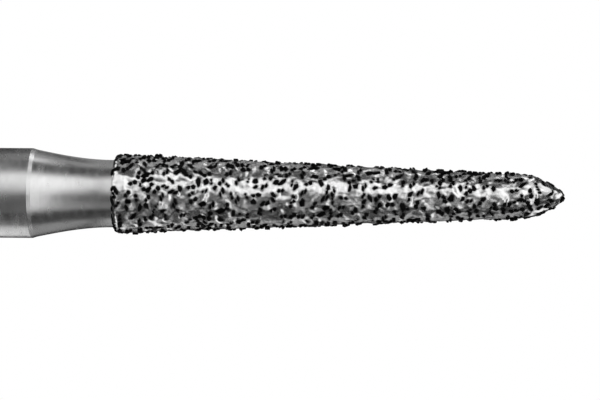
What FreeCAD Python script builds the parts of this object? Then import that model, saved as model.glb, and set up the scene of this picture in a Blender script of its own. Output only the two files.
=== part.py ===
import FreeCAD, Part
import math
import os
import random

# A friction-grip diamond bur, upright on the end of its shank, with its tip at the top.
# Millimetres and degrees. The axis is Z, and the middle of the shank's end is the origin.
# One steel blank is turned. Its head is coated with nickel, and the nickel holds the grit.

# Shank: the plain cylinder that the handpiece grips
SHANK_DIAMETER = 1.60
SHANK_LENGTH = 12.00
SHANK_END_ROUND = 0.25
SHANK_EDGE_LENGTH = 0.08
SHANK_EDGE_DEPTH = 0.025

# Neck: a cone off the shank, then an arc, then a short waist under the head
NECK_LENGTH = 1.44
NECK_WAIST_LENGTH = 0.05
NECK_BLEND_RADIUS = 4.00

# Head: a slender cone, then a pointed arch with a rounded nose, measured over the nickel
HEAD_DIAMETER = 1.40
HEAD_LENGTH = 7.96
HEAD_HALF_ANGLE = 2.5
TIP_ARCH_RADIUS = 1.15
TIP_NOSE_RADIUS = 0.15
CORE_END_RADIUS = 0.05

# Nickel coat: flat lands round the head, and a rounded edge at the neck
COAT_UNDER_GRIT = 0.017
COAT_EDGE_ROUND = 0.075
COAT_SIDES = 20
COAT_EDGE_BANDS = 2
TIP_ARCH_BANDS = 4

# Grit: eight-sided crystals, sunk a little past their middle, as (length, width, height)
GRAIN_SHAPES = ((0.15, 0.11, 0.13), (0.13, 0.12, 0.12), (0.17, 0.10, 0.11))
GRAIN_SCALE_LEAST = 0.80
GRAIN_SCALE_MOST = 1.10
GRAIN_SINK = 0.012
GRAIN_TILT_MOST = 18.0
GRAIN_GAP = 0.01
GRAINS_PER_MM2 = 13.0
TRIES_PER_GRAIN = 60
SEED = 14

# Shares that keep a round or a blend possible when other sizes change
END_ROUND_MOST = 0.9
BLEND_MOST = 0.98
EDGE_ROUND_MOST = 0.8

Z_AXIS = FreeCAD.Vector(0, 0, 1)
ORIGIN = FreeCAD.Vector(0, 0, 0)

tallest_grain = GRAIN_SCALE_MOST * max(height for _, _, height in GRAIN_SHAPES)
coat_thickness = tallest_grain / 2 + GRAIN_SINK + COAT_UNDER_GRIT
neck_foot = SHANK_LENGTH
head_foot = neck_foot + NECK_LENGTH
half_angle = math.radians(HEAD_HALF_ANGLE)
neck_radius = HEAD_DIAMETER / 2 - coat_thickness / math.cos(half_angle)


def at(radius, height):
    """A point of a profile, which is drawn in the XZ plane."""
    return FreeCAD.Vector(radius, 0, height)


def line(start, end):
    return Part.LineSegment(start, end).toShape()


def arc(start, middle, end):
    return Part.Arc(start, middle, end).toShape()


def polar(centre, radius, angle):
    """The point at a radius and an angle, above the horizontal, from a centre in the XZ plane."""
    return centre + at(radius * math.cos(angle), radius * math.sin(angle))


class HeadOutline:
    """The meridian of the head: a cone of half_angle, an arch, and a nose round the axis."""

    def __init__(self):
        self.along = at(-math.sin(half_angle), math.cos(half_angle))
        outward = at(math.cos(half_angle), math.sin(half_angle))
        self.foot = at(HEAD_DIAMETER / 2, head_foot)
        self.nose_centre = at(0, head_foot + HEAD_LENGTH - TIP_NOSE_RADIUS)
        # the arch's centre lies one radius inside the cone, and the nose touches the arch
        inside_foot = self.foot - outward * TIP_ARCH_RADIUS
        to_nose = inside_foot - self.nose_centre
        apart = TIP_ARCH_RADIUS - TIP_NOSE_RADIUS
        forward = to_nose.dot(self.along)
        spare = forward ** 2 - to_nose.dot(to_nose) + apart ** 2
        self.cone_length = -forward - math.sqrt(spare)
        self.arch_centre = inside_foot + self.along * self.cone_length
        to_touch = self.nose_centre - self.arch_centre
        self.touch_angle = math.atan2(to_touch.z, to_touch.x)
        self.arch_length = TIP_ARCH_RADIUS * (self.touch_angle - half_angle)
        nose_length = TIP_NOSE_RADIUS * (math.pi / 2 - self.touch_angle)
        self.length = self.cone_length + self.arch_length + nose_length

    def place(self, distance):
        """The point at a distance along the meridian, and how steeply its normal rises."""
        if distance <= self.cone_length:
            return self.foot + self.along * distance, half_angle
        past_cone = distance - self.cone_length
        if past_cone <= self.arch_length:
            angle = half_angle + past_cone / TIP_ARCH_RADIUS
            return polar(self.arch_centre, TIP_ARCH_RADIUS, angle), angle
        angle = self.touch_angle + (past_cone - self.arch_length) / TIP_NOSE_RADIUS
        return polar(self.nose_centre, TIP_NOSE_RADIUS, angle), angle

    def core_arch_height(self, radius):
        """How high the arch of the core, one coat inside the head's, is at a radius."""
        across = radius - self.arch_centre.x
        return self.arch_centre.z + math.sqrt((TIP_ARCH_RADIUS - coat_thickness) ** 2 - across ** 2)


head = HeadOutline()


def steel_blank():
    """Shank, neck and the core of the head, turned in one piece."""
    shank_radius = SHANK_DIAMETER / 2
    end_round = min(SHANK_END_ROUND, shank_radius * END_ROUND_MOST)
    end_centre = at(shank_radius - end_round, end_round)
    end_start = polar(end_centre, end_round, math.radians(-90))
    end_middle = polar(end_centre, end_round, math.radians(-45))
    end_finish = polar(end_centre, end_round, 0)

    edge_low = at(shank_radius, neck_foot - SHANK_EDGE_LENGTH)
    edge_top = at(shank_radius - SHANK_EDGE_DEPTH, neck_foot)

    # the cone leaves the edge and touches the blend arc, which ends along the waist
    run = NECK_LENGTH - NECK_WAIST_LENGTH
    rise = abs(edge_top.x - neck_radius)
    side = math.copysign(1, edge_top.x - neck_radius)
    blend = min(NECK_BLEND_RADIUS, BLEND_MOST * (run ** 2 + rise ** 2) / (2 * rise))
    lean = math.atan2(run, blend - rise) - math.acos(blend / math.hypot(run, blend - rise))
    waist_start = head_foot - NECK_WAIST_LENGTH

    def on_blend(angle):
        return at(
            neck_radius + side * blend * (1 - math.cos(angle)),
            waist_start - blend * math.sin(angle),
        )

    neck_top = at(neck_radius, head_foot)
    core_shoulder = polar(head.arch_centre, TIP_ARCH_RADIUS - coat_thickness, half_angle)
    core_end = at(CORE_END_RADIUS, head.core_arch_height(CORE_END_RADIUS))
    outline = [
        line(ORIGIN, end_start),
        arc(end_start, end_middle, end_finish),
        line(end_finish, edge_low),
        line(edge_low, edge_top),
        line(edge_top, on_blend(lean)),
        arc(on_blend(lean), on_blend(lean / 2), on_blend(0)),
        line(on_blend(0), neck_top),
        line(neck_top, core_shoulder),
        line(core_shoulder, core_end),
        line(core_end, at(0, core_end.z)),
        line(at(0, core_end.z), ORIGIN),
    ]
    return Part.Face(Part.Wire(outline)).revolve(ORIGIN, Z_AXIS, 360)


def coat_stations():
    """Points of the coat's outer meridian where one band of lands ends and the next begins."""
    edge_round = min(COAT_EDGE_ROUND, EDGE_ROUND_MOST * coat_thickness)
    shoulder, _ = head.place(edge_round)
    edge_centre = at(shoulder.x - edge_round, shoulder.z)
    stations = []
    for band in range(COAT_EDGE_BANDS):
        angle = math.radians(90) * (band / COAT_EDGE_BANDS - 1)
        stations.append(polar(edge_centre, edge_round, angle))
    stations.append(shoulder)
    for band in range(TIP_ARCH_BANDS + 1):
        distance = head.cone_length + head.arch_length * band / TIP_ARCH_BANDS
        stations.append(head.place(distance)[0])
    return stations


def coat_block():
    """The coat before it is hollowed: rings of flat lands, closed below and at the tip."""
    rings = []
    for station in coat_stations():
        turns = [FreeCAD.Rotation(Z_AXIS, 360 * side / COAT_SIDES) for side in range(COAT_SIDES)]
        rings.append([turn.multVec(station) for turn in turns])
    tip = at(0, head_foot + HEAD_LENGTH)
    faces = [Part.Face(Part.makePolygon(rings[0] + rings[0][:1]))]
    for side in range(COAT_SIDES):
        after = (side + 1) % COAT_SIDES
        for low, high in zip(rings, rings[1:]):
            corners = [low[side], low[after], high[after], high[side], low[side]]
            faces.append(Part.Face(Part.makePolygon(corners)))
        top = rings[-1]
        faces.append(Part.Face(Part.makePolygon([top[side], top[after], tip, top[side]])))
    return Part.Solid(Part.Shell(faces))


def crystal(length, width, height):
    """An eight-sided crystal round the origin, its length along X and its height along Z."""
    belt = [
        FreeCAD.Vector(length / 2, 0, 0),
        FreeCAD.Vector(0, width / 2, 0),
        FreeCAD.Vector(-length / 2, 0, 0),
        FreeCAD.Vector(0, -width / 2, 0),
    ]
    faces = []
    for start, end in zip(belt, belt[1:] + belt[:1]):
        for peak in (Z_AXIS * (height / 2), Z_AXIS * (-height / 2)):
            faces.append(Part.Face(Part.makePolygon([start, end, peak, start])))
    return Part.Solid(Part.Shell(faces))


def diamond_grit():
    """The crystals, scattered over the coat with no two of them touching."""
    chance = random.Random(SEED)
    crystals = [crystal(*shape) for shape in GRAIN_SHAPES]
    longest = GRAIN_SCALE_MOST * max(length for length, _, _ in GRAIN_SHAPES)
    mean_radius = (head.foot.x + head.place(head.cone_length)[0].x) / 2
    wanted = round(GRAINS_PER_MM2 * 2 * math.pi * mean_radius * head.length)
    taken = []
    grains = []
    for _ in range(wanted * TRIES_PER_GRAIN):
        distance = chance.uniform(COAT_EDGE_ROUND + longest / 4, head.length - longest / 2)
        point, upward = head.place(distance)
        if chance.random() * head.foot.x > point.x:
            continue
        turn = chance.uniform(0, 360)
        centre = FreeCAD.Rotation(Z_AXIS, turn).multVec(polar(point, -GRAIN_SINK, upward))
        kind = chance.randrange(len(crystals))
        scale = chance.uniform(GRAIN_SCALE_LEAST, GRAIN_SCALE_MOST)
        reach = scale * max(GRAIN_SHAPES[kind]) / 2
        if any(centre.distanceToPoint(other) < reach + far + GRAIN_GAP for other, far in taken):
            continue
        taken.append((centre, reach))
        tilt = chance.uniform(-GRAIN_TILT_MOST, GRAIN_TILT_MOST)
        attitude = (
            FreeCAD.Rotation(Z_AXIS, turn)
            * FreeCAD.Rotation(FreeCAD.Vector(0, 1, 0), 90 - math.degrees(upward))
            * FreeCAD.Rotation(FreeCAD.Vector(1, 0, 0), tilt)
            * FreeCAD.Rotation(Z_AXIS, chance.uniform(0, 360))
        )
        grain = crystals[kind].copy()
        grain.scale(scale)
        grain.Placement = FreeCAD.Placement(centre, attitude)
        grains.append(grain)
        if len(grains) == wanted:
            break
    return grains


def main():
    os.makedirs("parts", exist_ok=True)
    blank = steel_blank()
    grains = diamond_grit()
    coat = coat_block().cut([blank] + grains)
    nodes = {
        "steel_blank": blank,
        "nickel_coat": coat,
        "diamond_grit": Part.makeCompound(grains),
    }
    for name, shape in nodes.items():
        shape.exportStep(f"parts/{name}.step")
        print(name, len(shape.Solids), "solids", round(shape.Volume, 4), "mm3", shape.isValid())


main()
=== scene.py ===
# %% [markdown]
# # A diamond bur, seen close up
#
# A dental bur is a tiny grinding tool. A steel blank is turned on a lathe, its head is coated
# with nickel in a plating bath, and the nickel grows round loose diamond grit until it holds it.
# The real thing is only 21 mm long, and this picture shows its last 10 mm.
#
# We dress a finished model, which is imported as a fixed frame. The frame's three nodes are the
# steel blank, the nickel coat and the diamond grit. They are solid and exact, but plain: the
# round forms have flat facets, and the nickel is smooth. Each gets a finer piece that stands
# for it, with the finish that the photograph shows.

import math
import random

import bmesh
import bpy
from mathutils import Matrix, Vector


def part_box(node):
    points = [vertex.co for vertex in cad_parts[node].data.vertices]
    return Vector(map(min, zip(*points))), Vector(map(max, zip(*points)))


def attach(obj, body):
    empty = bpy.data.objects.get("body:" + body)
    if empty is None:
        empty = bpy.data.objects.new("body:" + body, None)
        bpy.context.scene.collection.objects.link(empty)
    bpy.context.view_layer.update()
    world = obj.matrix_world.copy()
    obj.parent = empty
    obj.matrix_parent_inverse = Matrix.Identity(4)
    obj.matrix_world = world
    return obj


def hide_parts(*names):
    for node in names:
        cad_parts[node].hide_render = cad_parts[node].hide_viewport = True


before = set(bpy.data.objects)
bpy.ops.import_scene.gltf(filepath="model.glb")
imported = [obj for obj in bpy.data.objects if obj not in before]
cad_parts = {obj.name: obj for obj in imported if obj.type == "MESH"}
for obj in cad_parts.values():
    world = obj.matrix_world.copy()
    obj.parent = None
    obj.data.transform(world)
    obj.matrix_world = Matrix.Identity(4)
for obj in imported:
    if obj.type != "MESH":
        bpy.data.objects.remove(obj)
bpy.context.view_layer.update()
MM = 0.001
print("nodes:", sorted(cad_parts))

# %% [markdown]
# ## Sizes
#
# Everything is in metres, so a millimetre has a name of its own. What the frame can tell us is
# read from it: how thick the shank is, and where the coat begins and ends along the axis. The
# rest are the sizes of the turned outline, which a drawing of such a bur would give.

# %% The bur's sizes
_, blank_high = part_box("steel_blank")
coat_low, coat_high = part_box("nickel_coat")

SHANK_RADIUS = blank_high.x
SHANK_LENGTH = 12.00 * MM
SHANK_END_ROUND = 0.25 * MM
SHANK_EDGE_FROM = -0.045 * MM
SHANK_EDGE_TO = 0.030 * MM
SHANK_EDGE_DEPTH = 0.024 * MM
KEEN_WIDTH = 0.003 * MM
NECK_RADIUS = 0.599 * MM
NECK_WAIST_LENGTH = 0.05 * MM
FLARE_ANGLE = math.radians(11.6)
FLARE_POWER = 1.7
FLARE_STEPS = 44

HEAD_START = coat_low.z
HEAD_END = coat_high.z
HEAD_RADIUS = 0.70 * MM
HEAD_HALF_ANGLE = math.radians(2.5)
COAT_THICKNESS = 0.1005 * MM
COAT_EDGE_ROUND = 0.090 * MM
TIP_ARCH_RADIUS = 1.15 * MM
TIP_NOSE_RADIUS = 0.11 * MM
CORE_END_RADIUS = 0.05 * MM
print("head, mm:", round((HEAD_END - HEAD_START) / MM, 3))

# %% [markdown]
# ## Camera
#
# The bur stands upright in its own frame, with the tip at the top, because that is how its
# drawing is laid out. The photograph shows it on its side with the tip to the right. So the
# camera is rolled a quarter turn: the picture's right is the frame's +Z, and its top is -X.
#
# The rings on the neck bulge a little towards the shank, which tells us that the camera looks
# from slightly past the tip's side. A long lens keeps the outline's taper true.

# %% The camera, framed as the photograph is
PHOTO_WIDTH = 600
PHOTO_HEIGHT = 400
PIXELS_PER_METRE = 56.5 / MM
SHANK_EDGE_PIXEL = 34.2
AXIS_PIXEL_AT_CENTRE = 195.0
AXIS_SLOPE = 0.0073
CAMERA_LIFT = math.radians(6.0)
LENS = 300.0
SENSOR = 36.0

pixels_to_centre = PHOTO_WIDTH / 2 - SHANK_EDGE_PIXEL
centre_z = SHANK_LENGTH + pixels_to_centre / PIXELS_PER_METRE / math.cos(CAMERA_LIFT)
centre_x = (PHOTO_HEIGHT / 2 - AXIS_PIXEL_AT_CENTRE) / PIXELS_PER_METRE
distance = LENS / SENSOR * PHOTO_WIDTH / PIXELS_PER_METRE

to_right = Vector((0, math.sin(CAMERA_LIFT), math.cos(CAMERA_LIFT)))
to_top = Vector((-1, 0, 0))
backward = to_right.cross(to_top)
tipped_right = (to_right + to_top * AXIS_SLOPE).normalized()
tipped_top = (to_top - to_right * AXIS_SLOPE).normalized()

camera_data = bpy.data.cameras.new("camera")
camera_data.lens = LENS
camera_data.sensor_width = SENSOR
camera_data.clip_start = 1 * MM
camera_data.clip_end = 10.0
camera = bpy.data.objects.new("camera", camera_data)
bpy.context.scene.collection.objects.link(camera)
turn = Matrix((tipped_right, tipped_top, backward)).transposed().to_4x4()
place = Vector((centre_x, 0, centre_z)) + backward * distance
camera.matrix_world = Matrix.Translation(place) @ turn
bpy.context.scene.camera = camera
bpy.context.scene.view_settings.view_transform = "Standard"
print("camera distance, mm:", round(distance / MM, 1))

# %% [markdown]
# ## Turning an outline
#
# The blank and the coat are both round about Z, so one helper makes both. It takes an outline
# as (radius, height) points and turns it, as a lathe does. A point on the axis becomes a single
# vertex, so the poles are closed, and each strip between two points becomes a ring of faces.

# %% A helper that turns an outline round the axis
ON_AXIS = 1e-9


def turned_mesh(name, outline, segments):
    """A closed mesh of revolution. The outline runs so that the material is on its left."""
    angles = [2 * math.pi * step / segments for step in range(segments)]
    points = []
    rings = []
    for radius, height in outline:
        if radius < ON_AXIS:
            rings.append([len(points)] * segments)
            points.append((0, 0, height))
            continue
        rings.append([len(points) + step for step in range(segments)])
        points += [(radius * math.cos(a), radius * math.sin(a), height) for a in angles]
    faces = []
    for low, high in zip(rings, rings[1:] + rings[:1]):
        for step in range(segments):
            after = (step + 1) % segments
            corners = [low[step], low[after], high[after], high[step]]
            corners = list(dict.fromkeys(corners))
            if len(corners) > 2:
                faces.append(corners)
    mesh = bpy.data.meshes.new(name)
    mesh.from_pydata(points, [], faces)
    mesh.polygons.foreach_set("use_smooth", [True] * len(mesh.polygons))
    mesh.validate()
    return mesh


def shown(name, mesh):
    """An object for a mesh, at the origin."""
    piece = bpy.data.objects.new(name, mesh)
    bpy.context.scene.collection.objects.link(piece)
    return piece


def arc_points(centre, radius, start, end, steps):
    """Points along an arc in the outline's plane, its angles measured up from the horizontal."""
    turns = [start + (end - start) * step / steps for step in range(steps + 1)]
    return [(centre[0] + radius * math.cos(a), centre[1] + radius * math.sin(a)) for a in turns]


def even_points(start, end, steps):
    """Points along a straight stretch, without its first."""
    return [
        (
            start[0] + (end[0] - start[0]) * step / steps,
            start[1] + (end[1] - start[1]) * step / steps,
        )
        for step in range(1, steps + 1)
    ]


# %% [markdown]
# ## The head's outline
#
# The head is a slender cone, then a pointed arch, then a small nose where the plating rounds
# the point. The arch touches the cone, and the nose touches the arch, so both arc centres
# follow from the radii. The core inside is one coat smaller.

# %% Where the arcs of the head meet
along = Vector((-math.sin(HEAD_HALF_ANGLE), math.cos(HEAD_HALF_ANGLE)))
outward = Vector((math.cos(HEAD_HALF_ANGLE), math.sin(HEAD_HALF_ANGLE)))
cone_foot = Vector((HEAD_RADIUS, HEAD_START))
nose_centre = Vector((0, HEAD_END - TIP_NOSE_RADIUS))
to_nose = cone_foot - outward * TIP_ARCH_RADIUS - nose_centre
forward = to_nose.dot(along)
apart = TIP_ARCH_RADIUS - TIP_NOSE_RADIUS
cone_length = -forward - math.sqrt(forward**2 - to_nose.length_squared + apart**2)
arch_centre = nose_centre + to_nose + along * cone_length
touch = nose_centre - arch_centre
touch_angle = math.atan2(touch.y, touch.x)
print("cone, mm:", round(cone_length / MM, 3), "arch to", round(math.degrees(touch_angle), 1))


def core_end_height(radius):
    """The height of the core's arch at a radius."""
    across = radius - arch_centre.x
    return arch_centre.y + math.sqrt((TIP_ARCH_RADIUS - COAT_THICKNESS) ** 2 - across**2)


core_shoulder = arch_centre + outward * (TIP_ARCH_RADIUS - COAT_THICKNESS)
core_end = (CORE_END_RADIUS, core_end_height(CORE_END_RADIUS))

# %% [markdown]
# ## The steel blank
#
# The blank is one piece of hardened steel: a shank that the handpiece grips, a neck that flares
# out to it, and the core of the head. The shank's edge is a thin chamfer, which shows as a dark
# ring at the picture's left. Smooth shading would blur so thin a ring, so each of its corners is
# four close points instead of one. The flare is given by its slope, step by step, and then
# fitted to the two radii that it joins. It has many points, because a bright surface shows every
# facet.

# %% Turn the blank
BLANK_SEGMENTS = 192
END_ROUND_STEPS = 12

end_centre = (SHANK_RADIUS - SHANK_END_ROUND, SHANK_END_ROUND)
edge_low = (SHANK_RADIUS, SHANK_LENGTH + SHANK_EDGE_FROM)
edge_top = (SHANK_RADIUS - SHANK_EDGE_DEPTH, SHANK_LENGTH + SHANK_EDGE_TO)
waist_start = HEAD_START - NECK_WAIST_LENGTH


def flare_slope(share):
    """The neck's slope at a share of the way from the shank to the waist."""
    return FLARE_ANGLE * (1 - share**FLARE_POWER)


drop = (waist_start - edge_top[1]) / FLARE_STEPS
flare = [edge_top]
for step in range(FLARE_STEPS):
    slope = flare_slope((step + 0.5) / FLARE_STEPS)
    flare.append((flare[-1][0] - drop * math.tan(slope), flare[-1][1] + drop))
fit = (edge_top[0] - NECK_RADIUS) / (edge_top[0] - flare[-1][0])
flare = [(edge_top[0] - (edge_top[0] - radius) * fit, height) for radius, height in flare]
print("flare fitted by a factor of", round(fit, 3))


def keen(before, corner, after):
    """A corner of the outline as four close points, so that its shading stays sharp."""
    corner = Vector(corner)
    back = (Vector(before) - corner).normalized() * KEEN_WIDTH
    on = (Vector(after) - corner).normalized() * KEEN_WIDTH
    return [tuple(corner + step) for step in (2 * back, back, on, 2 * on)]


blank_outline = [(0, 0)]
blank_outline += arc_points(end_centre, SHANK_END_ROUND, -math.pi / 2, 0, END_ROUND_STEPS)
blank_outline += keen(blank_outline[-1], edge_low, edge_top)
blank_outline += keen(edge_low, edge_top, flare[1])
blank_outline += flare[1:]
blank_outline += [(NECK_RADIUS, HEAD_START), tuple(core_shoulder), core_end, (0, core_end[1])]

turned_blank = shown("turned_blank", turned_mesh("turned_blank", blank_outline, BLANK_SEGMENTS))
print("blank faces:", len(turned_blank.data.polygons))

# %% [markdown]
# ## The nickel coat, before it is rough
#
# The coat is a closed shell: its outer skin follows the head's outline, and its inner wall lies
# on the core. It starts as smooth as the blank. Its skin gets a fine, even grid of points about
# 0.02 mm apart, which is a tenth of a crystal, because the lumps that come next are made by
# moving those points.

# %% Turn the smooth coat
COAT_SEGMENTS = 256
COAT_ROWS_CONE = 324
COAT_ROWS_ARCH = 34
COAT_ROWS_NOSE = 7
COAT_ROWS_EDGE = 8

edge_shoulder = cone_foot + along * COAT_EDGE_ROUND
edge_centre = edge_shoulder - outward * COAT_EDGE_ROUND
cone_end = cone_foot + along * cone_length

skin = arc_points(edge_centre, COAT_EDGE_ROUND, -math.pi / 2, HEAD_HALF_ANGLE, COAT_ROWS_EDGE)
skin += even_points(skin[-1], tuple(cone_end), COAT_ROWS_CONE)
skin += arc_points(arch_centre, TIP_ARCH_RADIUS, HEAD_HALF_ANGLE, touch_angle, COAT_ROWS_ARCH)[1:]
skin += arc_points(nose_centre, TIP_NOSE_RADIUS, touch_angle, math.pi / 2, COAT_ROWS_NOSE)[1:-1]
coat_outline = [(NECK_RADIUS, HEAD_START)] + skin + [(0, HEAD_END)]
coat_outline += [(0, core_end[1]), core_end, tuple(core_shoulder)]

smooth_coat = shown("smooth_coat", turned_mesh("smooth_coat", coat_outline, COAT_SEGMENTS))
print("coat triangles:", sum(len(face.vertices) - 2 for face in smooth_coat.data.polygons))

# %% [markdown]
# The skin may move and the inner wall may not. A point attribute says which is which: it is 1
# on the skin, falls in three steps to 0 where the coat's end face meets the neck, and is 0 on
# the wall. The points lie in the outline's order, one ring after another, so the values can be
# given ring by ring.

# %% Say how freely each ring of points may move
EDGE_FREEDOM = [0.0, 0.3, 0.7]
WALL_RINGS = 3
ring_freedom = EDGE_FREEDOM + [1.0] * (len(skin) - 1) + [0.0] * WALL_RINGS
point_freedom = []
for (radius, _), freedom in zip(coat_outline, ring_freedom):
    point_freedom += [freedom] * (1 if radius < ON_AXIS else COAT_SEGMENTS)
free = smooth_coat.data.attributes.new("freedom", "FLOAT", "POINT")
free.data.foreach_set("value", point_freedom)
print("rings:", len(coat_outline), "that stay:", ring_freedom.count(0.0))

# %% [markdown]
# ## Where the crystals sit
#
# The frame has 359 crystals, each seated in a socket that is cut in the nickel. The finer ones
# take the same seats. A copy of the node's mesh is merged, because an imported mesh is loose
# triangles, and then each crystal is an island of six corners. Its three axes run between
# opposite corners, and they give its length, width, height and attitude.

# %% Read the seats
MERGE_DISTANCE = 1e-7


def islands(mesh):
    """The corners of each separate body of a mesh, as lists of points."""
    merged = bmesh.new()
    merged.from_mesh(mesh)
    bmesh.ops.remove_doubles(merged, verts=merged.verts, dist=MERGE_DISTANCE)
    found = []
    seen = set()
    for start in merged.verts:
        if start in seen:
            continue
        seen.add(start)
        island = [start]
        for corner in island:
            for edge in corner.link_edges:
                other = edge.other_vert(corner)
                if other not in seen:
                    seen.add(other)
                    island.append(other)
        found.append([corner.co.copy() for corner in island])
    merged.free()
    return found


def axes_of(corners):
    """The half axes of an eight-sided crystal, the one that points outwards last."""
    middle = sum(corners, Vector()) / len(corners)
    spokes = [corner - middle for corner in corners]
    axes = []
    while spokes:
        spoke = spokes.pop()
        opposite = min(spokes, key=lambda other: (other + spoke).length)
        spokes.remove(opposite)
        axes.append(spoke)
    outside = Vector((middle.x, middle.y, 0)).normalized()
    if middle.z > arch_centre.y:
        outside = (middle - Vector((0, 0, arch_centre.y))).normalized()
    axes.sort(key=lambda axis: abs(axis.normalized().dot(outside)))
    if axes[2].dot(outside) < 0:
        axes[2].negate()
    if axes[0].cross(axes[1]).dot(axes[2]) < 0:
        axes[0].negate()
    return middle, axes


grit_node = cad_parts["diamond_grit"]
seats = [axes_of(corners) for corners in islands(grit_node.data)]
print("seats:", len(seats))

# %% [markdown]
# ## Node trees in a few words
#
# The next steps build several node trees. Three small helpers keep them readable: one starts a
# tree with named inputs and outputs, one adds a node with its settings and feeds, and one runs
# a tree on a piece and keeps the result as a plain mesh.

# %% Helpers for node trees
def start_tree(name, kind, inputs, outputs):
    """A node group with its named sockets, and its input and output sockets."""
    tree = bpy.data.node_groups.new(name, kind)
    for title, socket_type, value in inputs:
        socket = tree.interface.new_socket(title, in_out="INPUT", socket_type=socket_type)
        if value is not None:
            socket.default_value = value
    for title, socket_type in outputs:
        tree.interface.new_socket(title, in_out="OUTPUT", socket_type=socket_type)
    return tree, tree.nodes.new("NodeGroupInput").outputs, tree.nodes.new("NodeGroupOutput").inputs


def add(tree, kind, feeds=None, **settings):
    """A node. Its settings come first, and a feed is a socket to link or a plain value."""
    node = tree.nodes.new(kind)
    for title, value in settings.items():
        setattr(node, title, value)
    for title, value in (feeds or {}).items():
        if isinstance(value, bpy.types.NodeSocket):
            tree.links.new(value, node.inputs[title])
        else:
            node.inputs[title].default_value = value
    return node


def maths(tree, operation, *values):
    """The result of a Math node."""
    return add(tree, "ShaderNodeMath", dict(enumerate(values)), operation=operation).outputs[0]


def grown(name, piece, tree, values):
    """A new piece: the plain mesh that a Geometry Nodes tree makes of a piece."""
    modifier = piece.modifiers.new(tree.name, "NODES")
    modifier.node_group = tree
    for item in tree.interface.items_tree:
        if item.name in values and item.in_out == "INPUT":
            modifier[item.identifier] = values[item.name]
    graph = bpy.context.evaluated_depsgraph_get()
    mesh = bpy.data.meshes.new_from_object(piece.evaluated_get(graph), depsgraph=graph)
    mesh.name = name
    bpy.data.objects.remove(piece)
    return shown(name, mesh)


# %% [markdown]
# ## Crushed crystals
#
# Diamond grit is crushed and sieved, so each grain is blocky and sharp, and no two are alike.
# The hull of a dozen scattered points has just that look, and only about twenty faces. Some
# grains are twins of two blocks grown together at an angle, which look like commas in the
# photograph. A dozen shapes are enough, because each one is turned and stretched anew.

# %% Make a dozen crystal shapes
CRYSTAL_SHAPES = 12
SHAPES_SEED = 8
HULL_POINTS = 12
SPIRAL_TURN = 2.4
TURN_JITTER = 0.35
SQUARENESS = 0.55
SHORTEST_SPOKE = 0.82
ANY_TURN = 6.0
TWINNED_EVERY = 3
TWINS = [
    # middle, half size and turn of each block
    (Vector((-0.38, -0.22, 0)), (0.62, 0.66, 0.95), 0.25),
    (Vector((0.40, 0.28, 0)), (0.60, 0.50, 0.85), 1.0),
]


def add_block(shape, chance, centre, half, turn):
    """Add one blocky hull to a bmesh: jittered points on a spiral, pushed out to a box."""
    corners = []
    for step in range(HULL_POINTS):
        height = 1 - 2 * (step + 0.5) / HULL_POINTS
        around = step * SPIRAL_TURN + chance.uniform(-TURN_JITTER, TURN_JITTER)
        spoke = Vector((math.cos(around), math.sin(around), 0)) * math.sqrt(1 - height * height)
        spoke.z = height
        spoke /= max(abs(spoke.x), abs(spoke.y), abs(spoke.z)) ** SQUARENESS
        spoke *= chance.uniform(SHORTEST_SPOKE, 1.0)
        spoke = Vector((spoke.x * half[0], spoke.y * half[1], spoke.z * half[2]))
        corners.append(shape.verts.new(Matrix.Rotation(turn, 3, "Z") @ spoke + centre))
    hull = bmesh.ops.convex_hull(shape, input=corners)
    loose = [item for item in hull["geom_interior"] if isinstance(item, bmesh.types.BMVert)]
    bmesh.ops.delete(shape, geom=loose, context="VERTS")


def crystal_mesh(number, chance):
    """A crystal that fills the space from -1 to 1 on each axis."""
    shape = bmesh.new()
    if number % TWINNED_EVERY == 0:
        for centre, half, turn in TWINS:
            add_block(shape, chance, centre, half, turn)
    else:
        add_block(shape, chance, Vector(), (1.0, 1.0, 1.0), chance.uniform(0, ANY_TURN))
    bmesh.ops.recalc_face_normals(shape, faces=shape.faces)
    for axis in range(3):
        low = min(corner.co[axis] for corner in shape.verts)
        high = max(corner.co[axis] for corner in shape.verts)
        for corner in shape.verts:
            corner.co[axis] = 2 * (corner.co[axis] - low) / (high - low) - 1
    mesh = bpy.data.meshes.new(f"crystal_{number}")
    shape.to_mesh(mesh)
    shape.free()
    return mesh


shape_chance = random.Random(SHAPES_SEED)
crystal_shelf = bpy.data.collections.new("crystal_shapes")
for number in range(CRYSTAL_SHAPES):
    mesh = crystal_mesh(number, shape_chance)
    crystal_shelf.objects.link(bpy.data.objects.new(mesh.name, mesh))

# %% [markdown]
# ## Seat the crystals
#
# The real head holds more than twice as many crystals as the frame does. So a Geometry Nodes
# tree keeps the frame's seats and scatters smaller crystals between them: Poisson points on the
# coat, less those that come too near a seat. They crowd at both ends of the head, as in the
# photograph. Every point then takes one of the dozen shapes, turned to stand on the nickel.
#
# A crystal in a seat is the frame's, stretched by a share along each of its axes. Most are a
# little wider and lower than the frame's, and each fifth stands tall. Those on the arch are
# lower, and those on the nose are flat, because the photograph's tip is slender.

# %% The seats as points with a size and a turn
LOW_SHARE = Vector((1.26, 1.12, 0.78))
TALL_SHARE = Vector((1.30, 1.15, 0.95))
ARCH_SHARE = Vector((1.15, 1.05, 0.50))
NOSE_SHARE = Vector((1.05, 1.0, 0.28))
NOSE_FROM = HEAD_END - 0.45 * MM
TALL_EVERY = 5


def seat_share(index, height):
    """How much of each axis a seated crystal keeps."""
    if height > NOSE_FROM:
        return NOSE_SHARE
    if height > arch_centre.y:
        return ARCH_SHARE
    return TALL_SHARE if index % TALL_EVERY == 0 else LOW_SHARE


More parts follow.
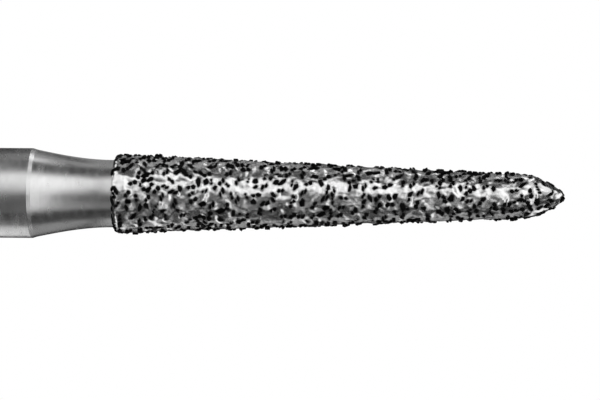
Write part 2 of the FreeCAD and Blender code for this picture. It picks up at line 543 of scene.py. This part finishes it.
seat_mesh = bpy.data.meshes.new("seats")
seat_mesh.from_pydata([middle for middle, _ in seats], [], [])
seat_size = seat_mesh.attributes.new("half_size", "FLOAT_VECTOR", "POINT")
seat_turn = seat_mesh.attributes.new("turn", "FLOAT_VECTOR", "POINT")
for index, (middle, axes) in enumerate(seats):
    directions = Matrix([axis.normalized() for axis in axes]).transposed()
    shares = seat_share(index, middle.z)
    seat_size.data[index].vector = [axis.length * share for axis, share in zip(axes, shares)]
    seat_turn.data[index].vector = directions.to_euler("XYZ")
half_lengths = [axes[0].length for _, axes in seats]
print("mean half length, mm:", round(sum(half_lengths) / len(half_lengths) / MM, 4))

# %% The tree that fills in between the seats and sets a crystal on each point
CROWDED_AT_NECK = 0.12 * MM
CROWDED_AT_TIP = 0.90 * MM

tree, given, result = start_tree(
    "set_crystals",
    "GeometryNodeTree",
    [
        ("Seats", "NodeSocketGeometry", None),
        ("Coat", "NodeSocketObject", None),
        ("Shapes", "NodeSocketCollection", None),
        ("Small per area", "NodeSocketFloat", 120.0 / MM**2),
        ("Small gap", "NodeSocketFloat", 0.092 * MM),
        ("Small share", "NodeSocketFloat", 0.66),
        ("Crowded below", "NodeSocketFloat", HEAD_START + CROWDED_AT_NECK),
        ("Crowded above", "NodeSocketFloat", HEAD_END - CROWDED_AT_TIP),
        ("Clear of seats", "NodeSocketFloat", 0.112 * MM),
        ("Small half least", "NodeSocketVector", (0.046 * MM, 0.036 * MM, 0.024 * MM)),
        ("Small half most", "NodeSocketVector", (0.100 * MM, 0.062 * MM, 0.044 * MM)),
        ("Sink", "NodeSocketFloat", 0.014 * MM),
        ("Lean", "NodeSocketVector", (0.9, 0.0, 0.5)),
        ("Lean spread", "NodeSocketFloat", math.radians(60)),
        ("Seed", "NodeSocketInt", 10),
        ("Material", "NodeSocketMaterial", None),
    ],
    [("Crystals", "NodeSocketGeometry")],
)
coat_shape = add(tree, "GeometryNodeObjectInfo", {"Object": given["Coat"]}).outputs["Geometry"]
freedom = add(tree, "GeometryNodeInputNamedAttribute", {"Name": "freedom"}, data_type="FLOAT")
on_skin = add(
    tree,
    "FunctionNodeCompare",
    {0: freedom.outputs["Attribute"], 1: 0.5},
    data_type="FLOAT",
    operation="GREATER_THAN",
).outputs[0]
height = add(
    tree,
    "ShaderNodeSeparateXYZ",
    {0: tree.nodes.new("GeometryNodeInputPosition").outputs[0]},
).outputs["Z"]
between_ends = maths(
    tree,
    "MULTIPLY",
    maths(tree, "GREATER_THAN", height, given["Crowded below"]),
    maths(tree, "LESS_THAN", height, given["Crowded above"]),
)
thinned = add(
    tree,
    "ShaderNodeMapRange",
    {"Value": between_ends, 3: 1.0, 4: given["Small share"]},
).outputs[0]
scatter = add(
    tree,
    "GeometryNodeDistributePointsOnFaces",
    {
        "Mesh": coat_shape,
        "Selection": on_skin,
        "Distance Min": given["Small gap"],
        "Density Max": given["Small per area"],
        "Density Factor": thinned,
        "Seed": given["Seed"],
    },
    distribute_method="POISSON",
)
to_seat = add(
    tree,
    "GeometryNodeProximity",
    {"Geometry": given["Seats"]},
    target_element="POINTS",
).outputs["Distance"]
too_near = add(
    tree,
    "FunctionNodeCompare",
    {0: to_seat, 1: given["Clear of seats"]},
    data_type="FLOAT",
    operation="LESS_THAN",
).outputs[0]
sunk = add(
    tree,
    "ShaderNodeVectorMath",
    {0: scatter.outputs["Normal"], "Scale": maths(tree, "MULTIPLY", given["Sink"], -1.0)},
    operation="SCALE",
).outputs[0]
lowered = add(
    tree,
    "GeometryNodeSetPosition",
    {"Geometry": scatter.outputs["Points"], "Offset": sunk},
).outputs[0]
upright = add(
    tree,
    "FunctionNodeAlignRotationToVector",
    {"Vector": scatter.outputs["Normal"]},
    axis="Z",
).outputs[0]
round_axis = add(
    tree,
    "ShaderNodeVectorMath",
    {0: scatter.outputs["Normal"], 1: (0.0, 0.0, 1.0)},
    operation="CROSS_PRODUCT",
).outputs[0]
lean_parts = add(tree, "ShaderNodeSeparateXYZ", {0: given["Lean"]}).outputs
leaning = add(
    tree,
    "ShaderNodeVectorMath",
    {
        0: add(
            tree,
            "ShaderNodeVectorMath",
            {0: round_axis, "Scale": lean_parts["X"]},
            operation="SCALE",
        ).outputs[0],
        1: add(tree, "ShaderNodeCombineXYZ", {"Z": lean_parts["Z"]}).outputs[0],
    },
    operation="ADD",
).outputs[0]
leant = add(
    tree,
    "FunctionNodeAlignRotationToVector",
    {"Rotation": upright, "Vector": leaning},
    axis="X",
    pivot_axis="Z",
).outputs[0]
spin = add(
    tree,
    "FunctionNodeRandomValue",
    {
        2: maths(tree, "MULTIPLY", given["Lean spread"], -1.0),
        3: given["Lean spread"],
        "Seed": given["Seed"],
    },
    data_type="FLOAT",
).outputs[1]
turned = add(
    tree,
    "FunctionNodeRotateRotation",
    {
        "Rotation": leant,
        "Rotate By": add(tree, "ShaderNodeCombineXYZ", {"Z": spin}).outputs[0],
    },
    rotation_space="LOCAL",
).outputs[0]
small_size = add(
    tree,
    "FunctionNodeRandomValue",
    {0: given["Small half least"], 1: given["Small half most"], "Seed": given["Seed"]},
    data_type="FLOAT_VECTOR",
).outputs[0]
with_turn = add(
    tree,
    "GeometryNodeStoreNamedAttribute",
    {"Geometry": lowered, "Name": "turn", "Value": turned},
    data_type="FLOAT_VECTOR",
).outputs[0]
with_size = add(
    tree,
    "GeometryNodeStoreNamedAttribute",
    {"Geometry": with_turn, "Name": "half_size", "Value": small_size},
    data_type="FLOAT_VECTOR",
).outputs[0]
small_points = add(
    tree,
    "GeometryNodeDeleteGeometry",
    {"Geometry": with_size, "Selection": too_near},
    domain="POINT",
).outputs[0]
every_point = tree.nodes.new("GeometryNodeJoinGeometry")
seat_points = add(tree, "GeometryNodeMeshToPoints", {"Mesh": given["Seats"]}).outputs[0]
tree.links.new(seat_points, every_point.inputs[0])
tree.links.new(small_points, every_point.inputs[0])
shapes = add(
    tree,
    "GeometryNodeCollectionInfo",
    {"Collection": given["Shapes"], "Separate Children": True, "Reset Children": True},
).outputs[0]
pick = add(
    tree,
    "FunctionNodeRandomValue",
    {4: 0, 5: CRYSTAL_SHAPES - 1, "Seed": given["Seed"]},
    data_type="INT",
).outputs[2]
turn_of, size_of = [
    add(tree, "GeometryNodeInputNamedAttribute", {"Name": title}, data_type="FLOAT_VECTOR")
    for title in ("turn", "half_size")
]
crystals = add(
    tree,
    "GeometryNodeInstanceOnPoints",
    {
        "Points": every_point.outputs[0],
        "Instance": shapes,
        "Pick Instance": True,
        "Instance Index": pick,
        "Rotation": add(
            tree, "FunctionNodeEulerToRotation", {0: turn_of.outputs["Attribute"]}
        ).outputs[0],
        "Scale": size_of.outputs["Attribute"],
    },
).outputs[0]
tint = add(
    tree,
    "FunctionNodeRandomValue",
    {2: 0.0, 3: 1.0, "Seed": given["Seed"]},
    data_type="FLOAT",
).outputs[1]
tinted = add(
    tree,
    "GeometryNodeStoreNamedAttribute",
    {"Geometry": crystals, "Name": "crystal_tint", "Value": tint},
    data_type="FLOAT",
    domain="INSTANCE",
).outputs[0]
whole = add(tree, "GeometryNodeRealizeInstances", {"Geometry": tinted}).outputs[0]
dressed = add(
    tree,
    "GeometryNodeSetMaterial",
    {"Geometry": whole, "Material": given["Material"]},
).outputs[0]
tree.links.new(dressed, result[0])
set_crystals = tree

# %% [markdown]
# ## How nickel grows round a crystal
#
# Plating builds up everywhere, and it creeps up the sides of each crystal, which leaves a
# little collar there. It also grows in soft lumps. A second tree does the same to the smooth
# coat: each point on the skin moves along its normal, by some noise for the lumps, and by a
# collar that depends on how near the closest crystal is. Noise over a certain level is a lump,
# and under it a hollow. The distance is kept as an attribute, because the nickel's colour uses
# it for painted shade next to each crystal.

# %% The tree that makes the coat lumpy
tree, given, result = start_tree(
    "grow_nickel",
    "GeometryNodeTree",
    [
        ("Coat", "NodeSocketGeometry", None),
        ("Crystals", "NodeSocketObject", None),
        ("Lump size", "NodeSocketFloat", 0.20 * MM),
        ("Lump height", "NodeSocketFloat", 0.068 * MM),
        ("Lump level", "NodeSocketFloat", 0.58),
        ("Collar reach", "NodeSocketFloat", 0.050 * MM),
        ("Collar height", "NodeSocketFloat", 0.003 * MM),
        ("Material", "NodeSocketMaterial", None),
    ],
    [("Coat", "NodeSocketGeometry")],
)
grit_shape = add(tree, "GeometryNodeObjectInfo", {"Object": given["Crystals"]}).outputs["Geometry"]
to_grit = add(
    tree,
    "GeometryNodeProximity",
    {"Geometry": grit_shape},
    target_element="FACES",
).outputs["Distance"]
place_on_coat = tree.nodes.new("GeometryNodeInputPosition").outputs[0]
lumps = add(
    tree,
    "ShaderNodeTexNoise",
    {
        "Vector": place_on_coat,
        "Scale": maths(tree, "DIVIDE", 1.0, given["Lump size"]),
        "Detail": 1.5,
        "Roughness": 0.5,
    },
    noise_dimensions="3D",
).outputs[0]
over_level = maths(tree, "SUBTRACT", lumps, given["Lump level"])
lump = maths(tree, "MULTIPLY", over_level, given["Lump height"])
collar = add(
    tree,
    "ShaderNodeMapRange",
    {"Value": to_grit, 2: given["Collar reach"], 1: 0.0, 3: given["Collar height"], 4: 0.0},
    interpolation_type="SMOOTHERSTEP",
).outputs[0]
freedom = add(tree, "GeometryNodeInputNamedAttribute", {"Name": "freedom"}, data_type="FLOAT")
lift = maths(tree, "MULTIPLY", maths(tree, "ADD", lump, collar), freedom.outputs["Attribute"])
offset = add(
    tree,
    "ShaderNodeVectorMath",
    {0: tree.nodes.new("GeometryNodeInputNormal").outputs[0], "Scale": lift},
    operation="SCALE",
).outputs[0]
marked = add(
    tree,
    "GeometryNodeStoreNamedAttribute",
    {"Geometry": given["Coat"], "Name": "to_crystal", "Value": to_grit},
    data_type="FLOAT",
).outputs[0]
moved = add(tree, "GeometryNodeSetPosition", {"Geometry": marked, "Offset": offset}).outputs[0]
whole = add(tree, "GeometryNodeRealizeInstances", {"Geometry": moved}).outputs[0]
dressed = add(
    tree,
    "GeometryNodeSetMaterial",
    {"Geometry": whole, "Material": given["Material"]},
).outputs[0]
tree.links.new(dressed, result[0])
grow_nickel = tree

# %% [markdown]
# ## Finishes
#
# Everything here is a neutral grey. What sets the three surfaces apart is how they reflect:
# turned steel, plated nickel and dark crystal. Steel and nickel both have a faint unevenness
# from the lathe, the bath and handling, so that is one shader node group. It gives a value
# between two limits that wanders over the surface, at a size and a stretch that each material
# sets for itself. Noise seldom leaves the middle of its range, so that middle is spread out to
# the two limits.

# %% A group for uneven finish
NOISE_LOW = 0.3
NOISE_HIGH = 0.7

tree, given, result = start_tree(
    "uneven_finish",
    "ShaderNodeTree",
    [
        ("Place", "NodeSocketVector", None),
        ("Size", "NodeSocketFloat", 0.1 * MM),
        ("Stretch", "NodeSocketVector", (1.0, 1.0, 1.0)),
        ("Least", "NodeSocketFloat", 0.0),
        ("Most", "NodeSocketFloat", 1.0),
    ],
    [("Value", "NodeSocketFloat")],
)
stretched = add(
    tree,
    "ShaderNodeVectorMath",
    {0: given["Place"], 1: given["Stretch"]},
    operation="MULTIPLY",
).outputs[0]
wander = add(
    tree,
    "ShaderNodeTexNoise",
    {"Vector": stretched, "Scale": maths(tree, "DIVIDE", 1.0, given["Size"]), "Detail": 3.0},
).outputs[0]
spread = add(
    tree,
    "ShaderNodeMapRange",
    {"Value": wander, 1: NOISE_LOW, 2: NOISE_HIGH, 3: given["Least"], 4: given["Most"]},
).outputs[0]
tree.links.new(spread, result[0])
uneven_finish = tree


def start_material(name, **plain):
    """A material with a Principled BSDF, and its plain sockets set."""
    material = bpy.data.materials.new(name)
    material.use_nodes = True
    surface = material.node_tree.nodes["Principled BSDF"]
    for title, value in plain.items():
        surface.inputs[title.replace("_", " ").title().replace("Ior", "IOR")].default_value = value
    return material, material.node_tree, surface.inputs


def uneven(tree, place, size, least, most, stretch=(1, 1, 1)):
    """The value of the shared group, placed with a material's own numbers."""
    feeds = {"Place": place, "Size": size, "Stretch": stretch, "Least": least, "Most": most}
    node = tree.nodes.new("ShaderNodeGroup")
    node.node_tree = uneven_finish
    for title, value in feeds.items():
        if isinstance(value, bpy.types.NodeSocket):
            tree.links.new(value, node.inputs[title])
        else:
            node.inputs[title].default_value = value
    return node.outputs["Value"]


def paint_grey(tree, surface, value):
    """Let one value be the red, the green and the blue of a material's colour."""
    colour = add(tree, "ShaderNodeCombineColor", {0: value, 1: value, 2: value}).outputs[0]
    tree.links.new(colour, surface["Base Color"])


# %% [markdown]
# ### Turned steel
#
# The lathe leaves fine rings round the axis. They blur a reflection along the axis and keep it
# sharp across it, which is why the neck shows clean stripes. An anisotropic shader does this
# with a radial tangent. A thin noise, stretched so that it runs round the axis, adds the few
# rings that are deep enough to see.

# %% The steel's material
RING_WIDTH = 0.02 * MM
RING_DEPTH = 0.0008 * MM
RING_STRENGTH = 0.15

steel, tree, surface = start_material("turned_steel", metallic=1.0, anisotropic=0.65)
place = tree.nodes.new("ShaderNodeTexCoord").outputs["Object"]
grey = uneven(tree, place, size=0.8 * MM, least=0.56, most=0.64, stretch=(1, 1, 0.6))
paint_grey(tree, surface, grey)
dull = uneven(tree, place, size=0.3 * MM, least=0.20, most=0.28, stretch=(1, 1, 3))
tree.links.new(dull, surface["Roughness"])
tangent = tree.nodes.new("ShaderNodeTangent")
tangent.direction_type = "RADIAL"
tangent.axis = "Z"
tree.links.new(tangent.outputs[0], surface["Tangent"])
rings = uneven(tree, place, size=RING_WIDTH, least=0.0, most=1.0, stretch=(0.02, 0.02, 1.0))
feeds = {"Height": rings, "Strength": RING_STRENGTH, "Distance": RING_DEPTH}
bump = add(tree, "ShaderNodeBump", feeds)
tree.links.new(bump.outputs[0], surface["Normal"])

# %% [markdown]
# ### Plated nickel
#
# The nickel is brighter than the steel, and its lumps are in the mesh already. A finer grain
# that the mesh can't hold is a bump. Next to each crystal the colour is darkened as painted
# shade, in place of the shade that the crystals cast on the nickel, so the distance that the
# tree has kept drives the colour there.

# %% The nickel's material
# The painted shade next to each crystal: how far it reaches, and how dark the colour gets there.
PAINTED_SHADE_REACH = 0.025 * MM
PAINTED_SHADE_LEVEL = 0.35
GRAIN_WIDTH = 0.03 * MM
GRAIN_DEPTH = 0.002 * MM
GRAIN_STRENGTH = 0.15

nickel, tree, surface = start_material("plated_nickel", metallic=1.0)
place = tree.nodes.new("ShaderNodeTexCoord").outputs["Object"]
to_crystal = add(tree, "ShaderNodeAttribute", attribute_name="to_crystal").outputs["Fac"]
# Painted shade: the nickel's colour drops to about a third right next to each crystal, in place of
# the shade that the crystals cast there.
painted_crevice_shade = add(
    tree,
    "ShaderNodeMapRange",
    {"Value": to_crystal, 1: 0.0, 2: PAINTED_SHADE_REACH, 3: PAINTED_SHADE_LEVEL, 4: 1.0},
).outputs[0]
bright = uneven(tree, place, size=0.12 * MM, least=0.66, most=0.78)
grey = maths(tree, "MULTIPLY", painted_crevice_shade, bright)
paint_grey(tree, surface, grey)
dull = uneven(tree, place, size=0.15 * MM, least=0.18, most=0.28)
tree.links.new(dull, surface["Roughness"])
grain = uneven(tree, place, size=GRAIN_WIDTH, least=0.0, most=1.0)
feeds = {"Height": grain, "Strength": GRAIN_STRENGTH, "Distance": GRAIN_DEPTH}
bump = add(tree, "ShaderNodeBump", feeds)
tree.links.new(bump.outputs[0], surface["Normal"])

# %% [markdown]
# ### Dark crystal
#
# In the photograph the crystals are black against the nickel. Their faces are smooth, but they
# reflect little. Each one has a shade of its own, which the tree has stored.

# %% The crystals' material
DARKEST = 0.0005
LIGHTEST = 0.004

diamond, tree, surface = start_material("dark_diamond", roughness=0.35, specular_ior_level=0.03)
tint = add(tree, "ShaderNodeAttribute", attribute_name="crystal_tint").outputs["Fac"]
shade = add(tree, "ShaderNodeMapRange", {"Value": tint, 3: DARKEST, 4: LIGHTEST}).outputs[0]
paint_grey(tree, surface, shade)
print("materials:", steel.name, nickel.name, diamond.name)

# %% [markdown]
# ## Put the pieces together
#
# Crystals come first, because the nickel grows round them. The seats become the crystals'
# piece, and the smooth coat becomes the lumpy one. All three pieces ride on the only body, and
# each replaces its node of the frame.

# %% Grow the pieces
grit_piece = grown(
    "crystals",
    shown("seats", seat_mesh),
    set_crystals,
    {"Coat": smooth_coat, "Shapes": crystal_shelf, "Material": diamond},
)
coat_piece = grown(
    "lumpy_nickel", smooth_coat, grow_nickel, {"Crystals": grit_piece, "Material": nickel}
)
turned_blank.data.materials.append(steel)
for piece in (turned_blank, coat_piece, grit_piece):
    triangles = sum(len(face.vertices) - 2 for face in piece.data.polygons)
    print(piece.name, "triangles:", triangles)

# %% Hang them on the frame
stands_for = {
    "steel_blank": (turned_blank, "steel"),
    "nickel_coat": (coat_piece, "nickel"),
    "diamond_grit": (grit_piece, "diamond"),
}
for node_name, (piece, slot) in stands_for.items():
    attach(piece, "root")
    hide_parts(node_name)

# %% [markdown]
# ## The studio
#
# A polished bar shows the studio round it as stripes. The photograph's stripes say what stood
# there: a broad bright panel above the camera, and grey and black round the rest. Each card here
# is a curved strip that hangs round the bur, with a glow that may change from one edge to the
# other. Angles are measured from the camera's side, and grow towards the picture's top.
#
# The cards hang in tiers, because a lumpy surface looks further up and down than a smooth one:
# the neck sees mostly the middle tier, and the nickel catches glints from the tiers above and
# below. A card that reaches below the floor lies on it instead. Behind the cards is a dark tent
# with a roof. All of it shows in the metal, and not to the camera, which sees plain white.

# %% Hang the cards
CARD_RADIUS = 0.30
CARD_FOOT = 0.10 * MM
CARD_STEP = 4.0
CARD_TILT_STEP = 6.0
CARDS = [
    # from and to, lowest and highest elevation, all in degrees, then glow at from and at to
    (14, 49, -85, 6, 1.00, 1.42),
    (14, 49, 6, 28, 1.40, 1.60),
    (-4, 61, 28, 66, 0.40, 0.40),
    (49, 61, -85, 28, 1.05, 0.25),
    (61, 95, -85, -18, 1.30, 1.30),
    (61, 95, -18, 16, 0.05, 0.10),
    (61, 95, 16, 66, 1.30, 1.00),
    (95, 120, -14, 1, 0.42, 0.40),
    (95, 120, 4, 16, 1.70, 1.80),
    (120, 180, -12, 9, 0.36, 0.30),
    (-4, 14, -38, 10, 0.26, 1.00),
    (-4, 14, 10, 28, 1.20, 1.40),
    (-26, -4, -38, 12.5, 0.12, 0.14),
    (-26, -4, 12.5, 24, 1.60, 1.60),
    (-52, -26, -12, 12, 0.46, 0.25),
    (-52, -26, 12, 24, 1.00, 1.80),
    (-96, -52, -38, -18, 1.80, 0.10),
    (-96, -52, -18, 22, 0.09, 0.01),
    (-96, -52, 22, 44, 1.20, 0.05),
    (-144, -96, -38, -12, 1.20, 1.20),
    (-144, -96, -12, 14, 0.32, 0.42),
    (-144, -96, 14, 30, 1.30, 1.30),
]
TENT_RADIUS = 0.33
TENT_FOOT = 0.05 * MM
TENT = (-180, 180, -85, 66, 0.03, 0.03)
ROOF_CORNERS = 24
ROOF_GLOW = 0.15


def on_card(azimuth, elevation, radius, foot):
    """A place on a ring round the bur, or on the floor where the ring would be below it."""
    around = math.radians(azimuth)
    slope = math.tan(math.radians(elevation))
    reach = min(radius, (foot - centre_z) / slope) if slope < 0 else radius
    return (-math.sin(around) * reach, -math.cos(around) * reach, centre_z + slope * reach)


card_points = []
card_faces = []
card_glow = []


def hang(card, radius, foot):
    """Add one curved card to the lists above."""
    start, end, low, high, glow_start, glow_end = card
    across = max(1, round((end - start) / CARD_STEP))
    up = max(1, round((high - low) / CARD_TILT_STEP))
    first = len(card_points)
    for step in range(across + 1):
        share = step / across
        for row in range(up + 1):
            elevation = low + (high - low) * row / up
            card_points.append(on_card(start + (end - start) * share, elevation, radius, foot))
            card_glow.append(glow_start + (glow_end - glow_start) * share)
    for step in range(across):
        for row in range(up):
            corner = first + step * (up + 1) + row
            card_faces.append((corner, corner + 1, corner + up + 2, corner + up + 1))


for card in CARDS:
    hang(card, CARD_RADIUS, CARD_FOOT)
hang(TENT, TENT_RADIUS, TENT_FOOT)
card_faces.append(tuple(range(len(card_points), len(card_points) + ROOF_CORNERS)))
for step in range(ROOF_CORNERS):
    card_points.append(on_card(360 / ROOF_CORNERS * step, TENT[3], TENT_RADIUS, TENT_FOOT))
    card_glow.append(ROOF_GLOW)
card_mesh = bpy.data.meshes.new("studio_cards")
card_mesh.from_pydata(card_points, [], card_faces)
glow = card_mesh.attributes.new("glow", "FLOAT", "POINT")
glow.data.foreach_set("value", card_glow)

card_paint = bpy.data.materials.new("card_paint")
card_paint.use_nodes = True
tree = card_paint.node_tree
tree.nodes.clear()
glow = add(tree, "ShaderNodeAttribute", attribute_name="glow").outputs["Fac"]
light = add(tree, "ShaderNodeEmission", {"Strength": glow}).outputs[0]
add(tree, "ShaderNodeOutputMaterial", {"Surface": light})
card_mesh.materials.append(card_paint)
cards = shown("studio_cards", card_mesh)
cards.visible_camera = False
cards.visible_diffuse = False
cards.visible_shadow = False
print("cards:", len(CARDS), "faces:", len(card_faces))

# %% [markdown]
# The floor is a matte white disc under the shank's end, and one large soft lamp hangs over it,
# so that the bur has a soft shadow there. The world is white to the camera, and a little weaker
# as a light, which leaves room for the lamp.

# %% The floor, the lamp and the world
FLOOR_RADIUS = 60 * MM
FLOOR_CORNERS = 96
LAMP_PLACE = Vector((-0.12, -0.16, 0.38))
LAMP_SIZE = 0.35
LAMP_ENERGY = 0.45
WORLD_AS_LIGHT = 0.7

floor_mesh = bpy.data.meshes.new("floor")
floor_shape = bmesh.new()
bmesh.ops.create_circle(floor_shape, cap_ends=True, segments=FLOOR_CORNERS, radius=FLOOR_RADIUS)
floor_shape.to_mesh(floor_mesh)
floor_shape.free()
floor = shown("floor", floor_mesh)
paper, tree, surface = start_material("white_paper", roughness=0.9)
place = tree.nodes.new("ShaderNodeTexCoord").outputs["Object"]
paint_grey(tree, surface, uneven(tree, place, size=2 * MM, least=0.88, most=0.90))
floor_mesh.materials.append(paper)

lamp_data = bpy.data.lights.new("overhead_softbox", "AREA")
lamp_data.size = LAMP_SIZE
lamp_data.energy = LAMP_ENERGY
lamp = bpy.data.objects.new("overhead_softbox", lamp_data)
lamp.location = LAMP_PLACE
lamp.rotation_euler = LAMP_PLACE.to_track_quat("Z", "Y").to_euler()
bpy.context.scene.collection.objects.link(lamp)

world = bpy.data.worlds.new("studio")
world.use_nodes = True
bpy.context.scene.world = world
tree = world.node_tree
ray = tree.nodes.new("ShaderNodeLightPath").outputs
seen = maths(tree, "MAXIMUM", ray["Is Camera Ray"], ray["Is Glossy Ray"])
seen = maths(tree, "MAXIMUM", seen, ray["Is Transmission Ray"])
strength = add(tree, "ShaderNodeMapRange", {"Value": seen, 3: WORLD_AS_LIGHT, 4: 1.0}).outputs[0]
background = tree.nodes["Background"].inputs
background["Color"].default_value = (1, 1, 1, 1)
tree.links.new(strength, background["Strength"])
